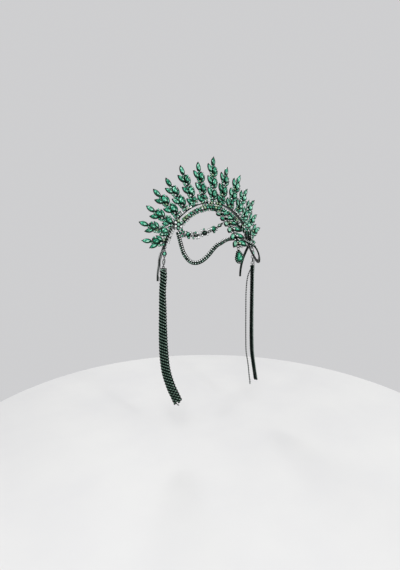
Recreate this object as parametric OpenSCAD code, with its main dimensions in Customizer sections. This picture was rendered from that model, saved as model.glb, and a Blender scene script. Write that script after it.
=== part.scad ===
// Bridal crown: a fan of fifteen jewelled sprays on a headband, with a forehead spray and a pear pendant,
// a garland and a swag on each side, and a tassel of stone-set strands hanging from each end.
// Millimetres. +Z is up and the wearer faces -Y, so +X is the wearer's left.
// The origin is under the top of the inner arc, where the crown sits on the head.

/* [Headband] */
// Radius of the headband's arc, to the middle of the strip
band_r = 83; // [82.5:0.1:83.5]
// Thickness of the strip
band_t = 1.6; // [1.2:0.1:1.8]
// Width of the strip and of the inner arc, front to back
band_w = 5; // [4:0.1:5.2]
// Length of the plain tail below each end of the arc
tail_len = 54; // [40:1:60]
// How far back the tail's tip lies
tail_back = 22; // [10:1:26]
// Width of the tail at its tip
tail_tip_w = 3; // [2.5:0.1:4]
// Forward lean of the arc's plane, in degrees
fan_lean = 3; // [1:0.5:5]

/* [Inner arc] */
// Inner radius of the arc that sits on the head
arc_r = 73; // [72:0.5:73]
// Diameter of the round stones along the arc
arc_stone_d = 3.9; // [3:0.1:4]
// Number of round stones along the arc
arc_stones = 23; // [15:1:23]

/* [Sprays] */
// Height of the spray in the middle of the fan, above the headband
fan_height = 64; // [60:1:68]
// Length of the leaf stone at a spray's tip
tip_len = 12.7; // [11:0.1:13]
// Length of the higher leaf stone of each tier
leaf_len = 13; // [11:0.5:13.5]
// Length of the lower leaf stone of each tier
low_leaf_len = 10.4; // [9:0.1:11]
// Width of the side leaf stones
leaf_wid = 5.2; // [4.4:0.1:5.4]
// Angle between a higher leaf and its stem, in degrees
leaf_angle = 30; // [28:1:33]
// Distance between the tiers of leaves along a stem
tier_step = 16.5; // [16:0.5:17]

/* [Forehead spray] */
// Number of leaf pairs
brow_tiers = 6; // [4:1:6]
// Angle between a leaf and the stem, in degrees
brow_angle = 42; // [38:1:44]
// How far the leaves on the wearer's left are turned up to face the side, in degrees
brow_lift = 32; // [20:1:34]

/* [Pendant] */
// Length of the pear stone
pear_len = 13; // [12:0.5:14]
// How far the pear leans to the wearer's left, in degrees
pear_lean = 16; // [0:1:18]
// Width of the pear stone
pear_wid = 9; // [8:0.5:9.5]
// Diameter of the small stones round the pear
halo_d = 1.9; // [1.6:0.1:1.9]
// Number of small stones round the pear
halo_stones = 16; // [12:1:18]

/* [Settings] */
// Thickness of the wall round a stone
wall = 0.6; // [0.5:0.1:0.7]
// Thickness of the floor under a stone
floor_t = 0.6; // [0.5:0.1:0.8]
// Height of the wall above the floor
wall_h = 1.4; // [1.3:0.1:1.6]
// Gap between a stone and its wall
fit_gap = 0.12; // [0.1:0.01:0.2]
// Diameter of the wire of rings and loops
wire_d = 0.8; // [0.7:0.1:0.8]
// Gap between two linked rings
link_gap = 0.13; // [0.1:0.01:0.15]

/* [Swags and tassels] */
// Width of the two-row chain of a swag
swag_w = 5.6; // [4.5:0.1:6.5]
// Thickness of that chain
swag_t = 2.6; // [2:0.1:3]
// Width of one strand of a tassel
strand_w = 2.8; // [2.7:0.1:3]
// Thickness of one strand of a tassel
strand_t = 3.1; // [3:0.1:3.3]

/* [Hidden] */

metal = [0.13, 0.14, 0.15];
emerald = [0.05, 0.50, 0.36];
pale = [0.75, 0.85, 0.80];
round_sides = 8;
table_share = 0.58;
link_step = wire_d + link_gap;
eye_r = 1.5;
strut_d = 1;

// The settings lie in two layers, the front one just clear of the stones of the back one
back_z = -1;
front_z = back_z + floor_t + wall_h + 1.1;
stem_w = 1.6;

// The leaves of a tier, placed by the stone's lower end: across toward the side of the higher leaf,
// down from the spray's tip or one tier_step below it, turn, stone length, stone width
high_leaf = [2.5, 21.6, leaf_angle, leaf_len, leaf_wid];
low_leaf = [-0.8, 26.9, -37, low_leaf_len, leaf_wid];
front_leaf = [0, 23.7, 0, 10, 6.4];
// Solid plates that carry the smallest stones: across, down, length, width
PLATES = [[2.3, 24.5, 6.4, 4.2], [-2.4, 14.3, 4, 4], [-2.7, 17.8, 4, 4], [0, 28.6, 3.4, 3.4]];
spray_foot = 1;

band_end_angle = 17;
arc_end_angle = 40;
arc_row_angle = 48;
flower_angle = 38.5;
flower_r = 79;
crystal_angle = 3.6;

// One half of the fan, from the middle to the wearer's left
// angle on the headband, place of the tip [x, y, z], length of the lowest of the higher leaves
FAN = [
    [90, [0, -1, fan_height + 10], leaf_len],
    [79, [27, 0, 63], leaf_len],
    [67.5, [55, 2, 55], leaf_len],
    [56, [75, 7, 37], leaf_len],
    [46, [93, 9, 21], leaf_len],
    [36, [102, 12, -1], 10],
    [27, [112, 14, -22], 8.5],
    [18, [106, 18, -46], leaf_len]
];

// Chains on the wearer's left: the places that they pass, and their rings and settings in order
// kind, length along the chain, stone length, stone width
GARLAND_PATH = [[58.5, -9.5, -37], [57.6, -12.3, -37.8], [53.2, -21.6, -39.9], [51.5, -24.1, -39.9],
    [46.7, -29.3, -38.9], [44.5, -31.3, -38.1], [36.5, -36.4, -34.9], [34, -37.5, -33.6],
    [24.3, -39.3, -28.8], [21.6, -39.2, -27.4], [15.4, -37.3, -24.2], [13, -36, -23]];
GARLAND = [["ring", 3.1], ["pear", 11, 8.2, 5.8], ["ring", 3.1], ["round", 7.4, 4, 4], ["ring", 3.1],
    ["round", 10.4, 6.4, 6.4], ["ring", 3.1], ["pear", 11.4, 8.8, 6.4], ["ring", 3.1], ["round", 7.4, 4, 4],
    ["ring", 3.1]];
LINK_PATH = [[82, -0.4, -56], [83, 0, -68], [84, 1, -81]];
LINKS = [["ring", 3.4], ["round", 8.2, 5, 5], ["ring", 3.4], ["round", 6.6, 3, 3], ["ring", 3.4]];
SWAG_PATH = [[63.5, -3, -34], [63.2, -5, -39], [63.5, -10, -49], [64, -17, -61], [63, -24, -69],
    [61, -31, -74], [58, -38, -75], [54, -43, -73], [50, -47, -69], [45, -50, -63], [40, -51.5, -57],
    [34, -52, -52], [27, -51.5, -49], [20, -50, -46], [13, -48.5, -44], [7, -47.6, -43.2],
    [1.2, -47.4, -42.8]];
TASSEL_PATH = [[84, 1, -84.5], [84, 1, -95], [85, 2, -115], [85, 2, -140], [85, 2, -170], [84.5, 1, -200],
    [83, -2, -225], [80, -9, -245], [77, -15, -257], [74.5, -20, -267]];
LOOSE_PATH = [[84, 1, -84.5], [80.5, 7.2, -100], [79, 9.6, -125], [79, 9.6, -170], [78.5, 8.6, -200],
    [78, 7, -225], [78.5, 4, -240], [78, 1, -252], [75, -4, -264], [71, -10, -272], [66, -14, -276]];
head_middle = [0, 14, -95];

function unit(v) = v / norm(v);
// A point in the fan's plane, at radius r and angle a round the arc, f in front of it
function arc_point(r, a, f = 0) =
    let (up = r * sin(a) - arc_r)
    [r * cos(a), -up * sin(fan_lean) - f * cos(fan_lean), up * cos(fan_lean) - f * sin(fan_lean)];
// Matrix of a frame at o whose y runs along y_dir and whose z is as near as it can be to z_like
function frame(o, y_dir, z_like) =
    let (y = unit(y_dir), z = unit(z_like - (z_like * y) * y), x = cross(y, z))
    [[x[0], y[0], z[0], o[0]], [x[1], y[1], z[1], o[1]], [x[2], y[2], z[2], o[2]], [0, 0, 0, 1]];
function along(path, s, i = 0) =
    let (d = norm(path[i + 1] - path[i]))
    s <= d || i == len(path) - 2 ? path[i] + (path[i + 1] - path[i]) * s / d : along(path, s - d, i + 1);
function path_len(path, i = 0) =
    i > len(path) - 2 ? 0 : norm(path[i + 1] - path[i]) + path_len(path, i + 1);

module fan_plane() { rotate([90 + fan_lean, 0, 0]) translate([0, -arc_r, 0]) children(); }
module on_side(side) { mirror([side == "right" ? 1 : 0, 0, 0]) children(); }

// Stones and settings

// Outlines, long way along y
function navette(length, width, n = 5) =
    let (r = (length * length + width * width) / (4 * width))
    let (half = asin(length / 2 / r), c = r - width / 2)
    [for (side = [1, -1]) for (i = [0:n - 1])
        let (a = 2 * half * i / n - half) [side * (r * cos(a) - c), side * r * sin(a)]];
function oval(length, width) =
    [for (i = [0:round_sides - 1])
        let (a = 360 * (i + 0.5) / round_sides) [width / 2 * cos(a), length / 2 * sin(a)]];
function pear(length, width, n = 8) =
    let (r = width / 2, tip = length - r, turn = acos(r / tip))
    concat([[0, tip]],
        [for (i = [0:n - 1])
            let (a = 90 + turn + (360 - 2 * turn) * i / (n - 1)) [r * cos(a), r * sin(a)]]);
function outline(kind, length, width) =
    kind == "leaf" ? navette(length, width) : kind == "pear" ? pear(length, width) : oval(length, width);

// A table, a ring of crown facets and a pavilion down to a point, with the girdle at z = 0
module cut_stone(pts, crown, pavilion) {
    n = len(pts);
    polyhedron(
        points = concat([for (p = pts) [p[0], p[1], 0]],
            [for (p = pts) [p[0] * table_share, p[1] * table_share, crown]], [[0, 0, -pavilion]]),
        faces = concat([[for (i = [n - 1:-1:0]) n + i]],
            [for (i = [0:n - 1]) [i, n + i, n + (i + 1) % n, (i + 1) % n]],
            [for (i = [0:n - 1]) [i, (i + 1) % n, 2 * n]]));
}

// A row of settings is a list of [kind, x, y, turn, stone length, stone width]
module grown(rows, by) {
    for (s = rows)
        translate([s[1], s[2]]) rotate(s[3]) offset(delta = by) polygon(outline(s[0], s[4], s[5]));
}
// Open cups on a floor whose underside is at z = 0, joined by what the children draw in the plane
module cups(rows) {
    linear_extrude(floor_t) offset(delta = 0) {
        grown(rows, wall);
        children();
    }
    linear_extrude(floor_t + wall_h) offset(delta = 0) difference() {
        union() {
            grown(rows, wall);
            children();
        }
        grown(rows, fit_gap);
    }
}
module stones(rows) {
    for (s = rows)
        translate([s[1], s[2], floor_t + wall_h - 0.1]) rotate(s[3])
            cut_stone(outline(s[0], s[4], s[5]), 0.2 + 0.14 * s[5], min(wall_h - 0.2, 0.26 * s[5]));
}
// A straight wire between two points
module strut(a, b) {
    multmatrix(frame(a, b - a, [0.1, 0.2, 1]))
        rotate([-90, 0, 0]) cylinder(h = norm(b - a), d = strut_d, $fn = 24);
}

// Rings and chains

module ring(r) { rotate_extrude($fn = 48) translate([r, 0]) circle(d = wire_d, $fn = 24); }
// An eye whose wire hooks round the chain's joint at p, seen from the side that the chain leaves in dir
module eye(p, dir, flat) { multmatrix(frame(p - dir * (eye_r - link_step / 2), dir, flat)) ring(eye_r); }
// The far side of that eye, where a post meets its wire
function eye_back(p, dir) = p - dir * (2 * eye_r - link_step / 2);

function chain_start(chain, i) = i == 0 ? 0 : chain_start(chain, i - 1) + chain[i - 1][1];
function joint(path, chain, i) =
    along(path, path_len(path) * chain_start(chain, i) / chain_start(chain, len(chain)));
// A pear hangs with its tip down
function setting(c) =
    c[0] == "pear" ? ["pear", 0, (c[2] - c[3]) / 2, 180, c[2], c[3]] : ["round", 0, 0, 0, c[2], c[3]];

// The part of v that is square to the direction n
function square_to(v, n) = unit(v - (v * n) * n);
// A setting lies flat between its joints p and q with its stone upright, facing as near to out as it can
function setting_frame(p, q, out) =
    let (face = square_to(out, unit(q - p))) frame((p + q) / 2, square_to([0, 0, 1], face), face);

// Rings stand edge on and settings lie flat, so that each hooks through the next
module chain(path, chain, out) {
    for (i = [0:len(chain) - 1]) {
        p = joint(path, chain, i);
        q = joint(path, chain, i + 1);
        dir = unit(q - p);
        outward = is_undef(out) ? unit((p + q) / 2 - head_middle) : out;
        if (chain[i][0] == "ring")
            multmatrix(frame((p + q) / 2, dir, cross(dir, outward))) ring(norm(q - p) / 2 + link_step / 2);
        else {
            multmatrix(setting_frame(p, q, outward))
                translate([0, 0, -floor_t / 2]) cups([setting(chain[i])]);
            eye(q, dir, outward);
            eye(p, -dir, outward);
            multmatrix(frame(p, dir, outward))
                translate([-0.5, 2 * eye_r - link_step / 2 - 0.3, -floor_t / 2])
                    cube([1, norm(q - p) - 4 * eye_r + link_step + 0.6, floor_t]);
        }
    }
}
module chain_stones(path, chain, out) {
    for (i = [0:len(chain) - 1]) if (chain[i][0] != "ring") {
        p = joint(path, chain, i);
        q = joint(path, chain, i + 1);
        outward = is_undef(out) ? unit((p + q) / 2 - head_middle) : out;
        multmatrix(setting_frame(p, q, outward))
            translate([0, 0, -floor_t / 2]) stones([setting(chain[i])]);
    }
}

// Headband and inner arc, in the plane of the fan

module strip(r, t, w, end_angle) {
    rotate([0, 0, end_angle]) rotate_extrude(angle = 180 - 2 * end_angle, $fn = 180)
        translate([r - t / 2, -w / 2]) square([t, w]);
}
// A point on one edge of the tail, u below its top
function tail_at(u, side) = let (width = band_w + (tail_tip_w - band_w) * u / tail_len)
    [u, tail_back * (1 - pow(1 - u / tail_len, 2)) + side * width / 2];
module tail() {
    top = arc_point(band_r, band_end_angle);
    translate([top[0] - band_t / 2, top[1], top[2] + 0.4]) rotate([0, 90, 0]) linear_extrude(band_t)
        polygon(concat([for (i = [0:9]) tail_at(tail_len * i / 9, 1)],
            [for (i = [9:-1:0]) tail_at(tail_len * i / 9, -1)]));
}
crystal_row = [for (i = [-2:2]) let (a = 90 + crystal_angle * i)
    ["round", (band_r - 0.4) * cos(a), (band_r - 0.4) * sin(a), a - 90, 3.4, 3.4]];
module headband() {
    color(metal) {
        fan_plane() {
            strip(band_r, band_t, band_w, band_end_angle);
            translate([0, 0, band_w / 2 - 0.2]) cups(crystal_row);
        }
        for (side = ["left", "right"]) on_side(side) {
            tail();
            dir = unit(LINK_PATH[1] - LINK_PATH[0]);
            eye(LINK_PATH[0], dir, tassel_face);
            strut(eye_back(LINK_PATH[0], dir), arc_point(band_r, band_end_angle, 1) + [0, 0, -1]);
        }
    }
}
arc_step = (180 - 2 * arc_row_angle) / (arc_stones - 1);
arc_stone_r = arc_r + 1.2 + wall + arc_stone_d / 2 - 0.3;
arc_row = [for (i = [0:arc_stones - 1]) let (a = arc_row_angle + arc_step * i)
    ["round", arc_stone_r * cos(a), arc_stone_r * sin(a), a - 90, arc_stone_d, arc_stone_d]];
module inner_arc() {
    color(metal) {
        fan_plane() {
            strip(arc_r + 0.6, 1.2, band_w, arc_end_angle);
            cups(arc_row);
        }
        eye(brow_hook, brow_dir(0), [1, 0, 0]);
    }
}
module arc_stones() {
    color(pale) fan_plane() {
        stones(arc_row);
        translate([0, 0, band_w / 2 - 0.2]) stones(crystal_row);
    }
}

// Sprays of the fan. Along a spray's own frame y runs out from the headband and z faces forward.
// All are alike, so the higher leaves are on the wearer's right in every spray.

function spray_len(k) = norm(FAN[k][1] - arc_point(band_r, FAN[k][0]));
function higher_side(i) = i < 8 ? 1 : -1;
function tops(length) = [for (top = [length:-tier_step:high_leaf[1] + spray_foot]) top];
// The leaves of one kind in all tiers, as far down as they stay clear of the headband
function leaves(length, side, leaf, last_len) = [for (top = tops(length))
    let (y = top - leaf[1], half = (y < tier_step + spray_foot ? last_len : leaf[3]) / 2)
    if (y > spray_foot)
        ["leaf", side * (leaf[0] + half * sin(leaf[2])), y + half * cos(leaf[2]), -side * leaf[2],
            2 * half, leaf[4]]];
function last_y(rows) = rows[len(rows) - 1][2];
function front_row(length) =
    let (front = leaves(length, 1, front_leaf, front_leaf[3]))
    concat(front, last_y(front) > 16 ? [["round", 0, last_y(front) - 12, 0, 4.6, 4.6]] : []);
function back_row(length, side, last_len) =
    let (low = leaves(length, side, low_leaf, low_leaf_len))
    let (room_at_foot = last_y(low) > 10 && last_y(front_row(length)) > 8.2)
    concat([["leaf", 0, length - tip_len / 2, 0, tip_len, leaf_wid + 0.2]],
        leaves(length, side, high_leaf, last_len), low,
        room_at_foot ? [["round", 0, 4, 0, 3.8, 3.8]] : []);

module at_spray(i) {
    k = abs(i - 8);
    base = arc_point(band_r, FAN[k][0]);
    on_side(i < 8 ? "right" : "left") multmatrix(frame(base, FAN[k][1] - base, [0, -1, 0])) children();
}
module spray(i) {
    k = abs(i - 8);
    length = spray_len(k);
    side = higher_side(i);
    color(metal) difference() {
        at_spray(i) {
            translate([0, 0, back_z]) cups(back_row(length, side, FAN[k][2])) {
                translate([-stem_w / 2, 0]) square([stem_w, length - tip_len]);
                for (top = tops(length)) for (p = PLATES) if (top > p[1])
                    translate([side * p[0], top - p[1]]) polygon(oval(p[2], p[3]));
            }
            for (s = front_row(length))
                translate([-stem_w / 2, s[2] - 0.8, back_z]) cube([stem_w, 3.2, front_z - back_z + 0.2]);
            translate([0, 0, front_z]) cups(front_row(length));
        }
        fan_plane() strip(band_r - 2, band_t + 4, 20, band_end_angle - 8);
    }
}
module spray_stones(i) {
    k = abs(i - 8);
    length = spray_len(k);
    color(emerald) at_spray(i) {
        translate([0, 0, back_z]) stones(back_row(length, higher_side(i), FAN[k][2]));
        translate([0, 0, front_z]) stones(front_row(length));
    }
}

// Side flowers, on the front edges of the headband and the inner arc

flower_row = concat([["round", 0, 0, 0, 4.6, 4.6]],
    [for (i = [0:5]) let (a = 60 * i + 30) ["round", 5.2 * cos(a), 5.2 * sin(a), a - 90, 4.4, 3.6]]);
module at_flower(side) {
    on_side(side) fan_plane()
        translate([flower_r * cos(flower_angle), flower_r * sin(flower_angle), band_w / 2]) children();
}
module flower(side) {
    low_petal = arc_point(flower_r, flower_angle, band_w / 2 + floor_t / 2) + [-0.5, 0, -7.5];
    color(metal) {
        at_flower(side) cups(flower_row);
        on_side(side) {
            dir = unit(GARLAND_PATH[1] - GARLAND_PATH[0]);
            eye(GARLAND_PATH[0], dir, GARLAND_PATH[0] - head_middle);
            strut(eye_back(GARLAND_PATH[0], dir), low_petal);
        }
    }
}
module flower_stones(side) { color(emerald) at_flower(side) stones(flower_row); }

// Forehead spray: a stem that curves down over the brow, with pairs of leaves

brow_r = 98;
brow_turn = 26.5;
brow_len = 68;
brow_step = 11;
brow_first = 7.5;
brow_start = [0, -9.3, -3.2];
function brow_angle_at(s) = brow_turn + s / brow_r * 180 / PI;
function brow_dir(s) = [0, -cos(brow_angle_at(s)), -sin(brow_angle_at(s))];
function brow_out(s) = [0, -sin(brow_angle_at(s)), cos(brow_angle_at(s))];
function brow_at(s) = brow_start + brow_r * (brow_out(s) - brow_out(0));
brow_hook = brow_start - brow_dir(0) * (3.2 + 2 * eye_r - link_step / 2);
pivot = brow_at(brow_len) + [0, -0.3, -3.9];

brow_leaf = [["leaf", leaf_len / 2 * sin(brow_angle), leaf_len / 2 * cos(brow_angle), -brow_angle,
    leaf_len, leaf_wid + 0.2]];
brow_front = [["round", 0, 5.2, 0, 3.6, 3.6]];
module at_tier(t) {
    s = brow_first + brow_step * t;
    multmatrix(frame(brow_at(s), brow_dir(s), brow_out(s))) children();
}
// The two leaves of a tier, each turned up about the inner end of its stone
module turned_up(angle) {
    depth = floor_t + wall_h;
    translate([1.9, 0, back_z + depth]) rotate([0, -angle, 0]) translate([0, 0, -depth]) children();
}
module at_brow_leaves() {
    turned_up(brow_lift / 3) children();
    mirror([1, 0, 0]) turned_up(brow_lift) children();
}
module brow_spray() {
    color(metal) {
        multmatrix([[0, 0, 1, 0], [0, -1, 0, brow_start[1] - brow_r * brow_out(0)[1]],
            [1, 0, 0, brow_start[2] - brow_r * brow_out(0)[2]], [0, 0, 0, 1]])
            rotate([0, 0, brow_turn]) rotate_extrude(angle = brow_len / brow_r * 180 / PI, $fn = 180)
                translate([brow_r - 0.6, -stem_w / 2]) square([1.2, stem_w]);
        for (t = [0:brow_tiers - 1]) at_tier(t) {
            at_brow_leaves() cups(brow_leaf);
            translate([-2.6, -1.6, back_z]) cube([5.2, 3.2, 1.3]);
            translate([-0.7, 3.6, back_z + 0.5]) cube([1.4, 3.2, front_z - back_z - 0.3]);
            translate([0, 0, front_z]) cups(brow_front);
        }
        eye(brow_hook + brow_dir(0) * 3.2, -brow_dir(0), [1, 0, 0]);
        multmatrix(frame(pivot + [0, 0, 2], [0, 0, 1], [0, -1, 0])) ring(2);
        for (side = [1, -1]) on_side(side > 0 ? "left" : "right") {
            end = GARLAND_PATH[len(GARLAND_PATH) - 1];
            dir = unit(GARLAND_PATH[len(GARLAND_PATH) - 2] - end);
            eye(end, dir, end - head_middle);
            strut(eye_back(end, dir), brow_at(24));
        }
    }
}
module brow_stones() {
    color(pale) for (t = [0:brow_tiers - 1]) at_tier(t) {
        at_brow_leaves() stones(brow_leaf);
        translate([0, 0, front_z]) stones(brow_front);
    }
}
module brow_ring() {
    color(metal) multmatrix(frame(brow_hook + brow_dir(0) * 1.6, brow_dir(0), brow_out(0)))
        ring(1.6 + link_step / 2);
}

// Pendant, hanging from the ring at the forehead spray's end

bail_r = 2;
pear_tip = pear_len - pear_wid / 2;
pear_top = pivot + [0, 0, link_step - 2 * bail_r - 1.2];
pear_row = [["pear", 0, -pear_tip - 1.6, 0, pear_len, pear_wid]];
halo_off = wall + 0.2 + halo_d / 2;
pear_turn = acos(pear_wid / 2 / pear_tip);
edge_len = sqrt(pow(pear_tip, 2) - pow(pear_wid / 2, 2));
halo_r = pear_wid / 2 + halo_off;
bend_len = halo_r * (360 - 2 * pear_turn) * PI / 180;
// Place and turn of a halo stone, s along the line from the tip, down one side, round and up the other
function halo_at(s) =
    s > edge_len + bend_len ? let (h = halo_at(2 * edge_len + bend_len - s)) [-h[0], h[1], -h[2]] :
    s > edge_len ? let (a = 90 - pear_turn - (s - edge_len) / halo_r * 180 / PI)
        [halo_r * cos(a), halo_r * sin(a), a - 90] :
    let (a = 90 - pear_turn, u = edge_len - s)
        [halo_r * cos(a) - u * sin(a), halo_r * sin(a) + u * cos(a), a - 90];
halo_row = [for (i = [0:halo_stones - 1])
    let (h = halo_at((2 * edge_len + bend_len) * i / (halo_stones - 1)))
    ["round", h[0], h[1] - pear_tip - 1.6, h[2], halo_d, halo_d]];
module at_pear() { translate(pear_top + [0, 1.2, 0]) rotate([90, -pear_lean, 0]) children(); }
module pendant_frame() {
    color(metal) {
        at_pear() cups(concat(pear_row, halo_row)) translate([-1, -3]) square([2, 4]);
        translate(pivot + [0, 0, link_step - bail_r]) rotate([0, 90, 0]) ring(bail_r);
        translate(pear_top + [-0.7, -0.6, -0.5]) cube([1.4, 1.2, 1.9]);
    }
}
module pendant_stone() { color(emerald) at_pear() stones(pear_row); }
module pendant_halo() { color(pale) at_pear() stones(halo_row); }

module garland(side) { color(metal) on_side(side) chain(GARLAND_PATH, GARLAND); }
module garland_stones(side) { color(emerald) on_side(side) chain_stones(GARLAND_PATH, GARLAND); }
tassel_face = unit([0.6, -0.8, 0]);
module tassel_links(side) { color(metal) on_side(side) chain(LINK_PATH, LINKS, tassel_face); }
module tassel_stones(side) { color(emerald) on_side(side) chain_stones(LINK_PATH, LINKS, tassel_face); }

// Swag: the two-row chain as one flattened tube along its route

function smooth(path, n) = [for (i = [0:len(path) - 2]) for (j = [0:n - 1])
    let (t = j / n, a = path[max(i - 1, 0)], b = path[i])
    let (c = path[i + 1], d = path[min(i + 2, len(path) - 1)])
    b + (c - a) * t / 2 + (2 * a - 5 * b + 4 * c - d) * t * t / 2 + (3 * b - a - 3 * c + d) * t * t * t / 2,
    path[len(path) - 1]];
// One closed body along a path; a section is a list of [across, outward] points, one section for each point
module swept(path, outward, sections) {
    sides = len(sections[0]);
    n = len(path);
    points = [for (i = [0:n - 1])
        let (m = frame(path[i], path[min(i + 1, n - 1)] - path[max(i - 1, 0)], outward[i]))
        for (s = sections[i]) [for (k = [0:2]) path[i][k] + m[k][0] * s[0] + m[k][2] * s[1]]];
    polyhedron(points = points, faces = concat(
        [for (i = [0:n - 2]) for (j = [0:sides - 1]) let (k = (j + 1) % sides)
            [i * sides + j, i * sides + k, (i + 1) * sides + k, (i + 1) * sides + j]],
        [[for (j = [sides - 1:-1:0]) j], [for (j = [0:sides - 1]) (n - 1) * sides + j]]));
}
module swag(side) {
    path = smooth(SWAG_PATH, 2);
    section = [for (j = [0:7])
        let (a = 45 * (j + 0.5)) [swag_w / 2 * cos(a), swag_t / 2 * sin(a)] / cos(22.5)];
    color(metal) on_side(side)
        swept(path, [for (p = path) p - head_middle], [for (p = path) section]);
}

// Tassel: two layers of four strands, gathered in a bar at the top, and one strand that swings loose

module strand(path, across, deep, gather) {
    sections = [for (i = [0:len(path) - 1])
        let (g = min(1, gather + 0.1 * max(0, i - 2)), w = strand_w / 2, t = strand_t / 2)
        [for (c = [[-w, -t], [w, -t], [w, t], [-w, t]])
            g * (c + [across * (strand_w + 0.1), deep * (strand_t + 0.1)])]];
    swept(path, [for (p = path) tassel_face], sections);
}
module tassel(side) {
    top = LINK_PATH[len(LINK_PATH) - 1];
    color(metal) on_side(side) {
        for (c = [-1.5:1:1.5]) for (d = [-0.5, 0.5]) strand(TASSEL_PATH, c, d, 0.7);
        strand(LOOSE_PATH, 0, 0, 0.9);
        multmatrix(frame(TASSEL_PATH[0], [0, 0, 1], tassel_face))
            translate([-4.6, -2, -2.9]) cube([9.2, 4, 5.8]);
        eye(top, [0, 0, 1], tassel_face);
    }
}

headband();
inner_arc();
arc_stones();
for (i = [1:15]) {
    spray(i);
    spray_stones(i);
}
brow_spray();
brow_stones();
brow_ring();
pendant_frame();
pendant_stone();
pendant_halo();
for (side = ["right", "left"]) {
    flower(side);
    flower_stones(side);
    garland(side);
    garland_stones(side);
    swag(side);
    tassel_links(side);
    tassel_stones(side);
    tassel(side);
}
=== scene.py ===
import math
import random

import bmesh
import bpy
import numpy as np
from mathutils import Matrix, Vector


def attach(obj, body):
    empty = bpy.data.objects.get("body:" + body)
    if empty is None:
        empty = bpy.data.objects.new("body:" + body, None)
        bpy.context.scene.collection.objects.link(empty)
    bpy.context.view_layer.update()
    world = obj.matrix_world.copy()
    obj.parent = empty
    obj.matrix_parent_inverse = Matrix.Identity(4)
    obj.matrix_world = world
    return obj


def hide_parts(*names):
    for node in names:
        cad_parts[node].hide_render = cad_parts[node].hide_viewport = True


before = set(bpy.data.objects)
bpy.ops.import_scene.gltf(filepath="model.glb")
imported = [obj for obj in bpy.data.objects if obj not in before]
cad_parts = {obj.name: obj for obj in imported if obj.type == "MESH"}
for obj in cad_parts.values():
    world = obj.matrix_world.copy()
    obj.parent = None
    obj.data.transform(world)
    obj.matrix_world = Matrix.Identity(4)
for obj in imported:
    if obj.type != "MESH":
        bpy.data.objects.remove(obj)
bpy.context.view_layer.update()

# Lengths are in millimetres up to the point where a mesh is written, which is in metres
MM = 0.001
rng = random.Random(11)

# Camera and stage

EYE = (-341.95, -423.33, -58.0)
TARGET = (-12.48, 13.90, -110.72)
FOCAL_PX = 366.67
IMAGE_HEIGHT_PX = 570
SENSOR = 36
CLIP_START = 20
BACKDROP = (0.62, 0.62, 0.63, 1)
CROWN_MIDDLE = (0, 0, -60)
# Name, place, the point that it faces, width and power
LIGHTS = (
    ("key", (-700, -800, 650), CROWN_MIDDLE, 420, 4.5),
    ("glint_left", (-820, -260, 160), CROWN_MIDDLE, 110, 1.0),
    ("glint_front", (-120, -950, 220), CROWN_MIDDLE, 120, 1.6),
    ("fill", (850, -500, 250), (0, 0, -80), 500, 2.5),
    ("rim", (300, 850, 620), CROWN_MIDDLE, 420, 4),
)


def point_at(thing, place, target):
    """Puts a camera or a light into the scene at a place, facing a target."""
    bpy.context.scene.collection.objects.link(thing)
    thing.location = Vector(place) * MM
    thing.rotation_mode = "QUATERNION"
    thing.rotation_quaternion = (Vector(target) - Vector(place)).to_track_quat("-Z", "Y")


def add_camera():
    data = bpy.data.cameras.new("camera")
    data.sensor_width = SENSOR
    data.lens = FOCAL_PX / IMAGE_HEIGHT_PX * SENSOR
    data.clip_start = CLIP_START * MM
    camera = bpy.data.objects.new("camera", data)
    point_at(camera, EYE, TARGET)
    bpy.context.scene.camera = camera


def add_light(name, place, target, size, power):
    data = bpy.data.lights.new(name, "AREA")
    data.shape = "DISK"
    data.size = size * MM
    data.energy = power
    point_at(bpy.data.objects.new(name, data), place, target)


def add_world():
    world = bpy.data.worlds.new("studio")
    bpy.context.scene.world = world
    world.use_nodes = True
    world.node_tree.nodes["Background"].inputs["Color"].default_value = BACKDROP


add_camera()
add_world()
bpy.context.scene.view_settings.view_transform = "Standard"
for light in LIGHTS:
    add_light(*light)

# Materials

# Scales of the noise textures, in features to a metre
CLOUD_SCALE = 700
POLISH_SCALE = 420
BLOTCH_SCALE = 260
WEAR_SCALE = 600
GRAIN_SCALE = 2600
GRAIN_DEPTH = 0.03
GRAIN_STRENGTH = 0.25
STONE_ROUGHNESS = (0.06, 0.192)


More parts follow.
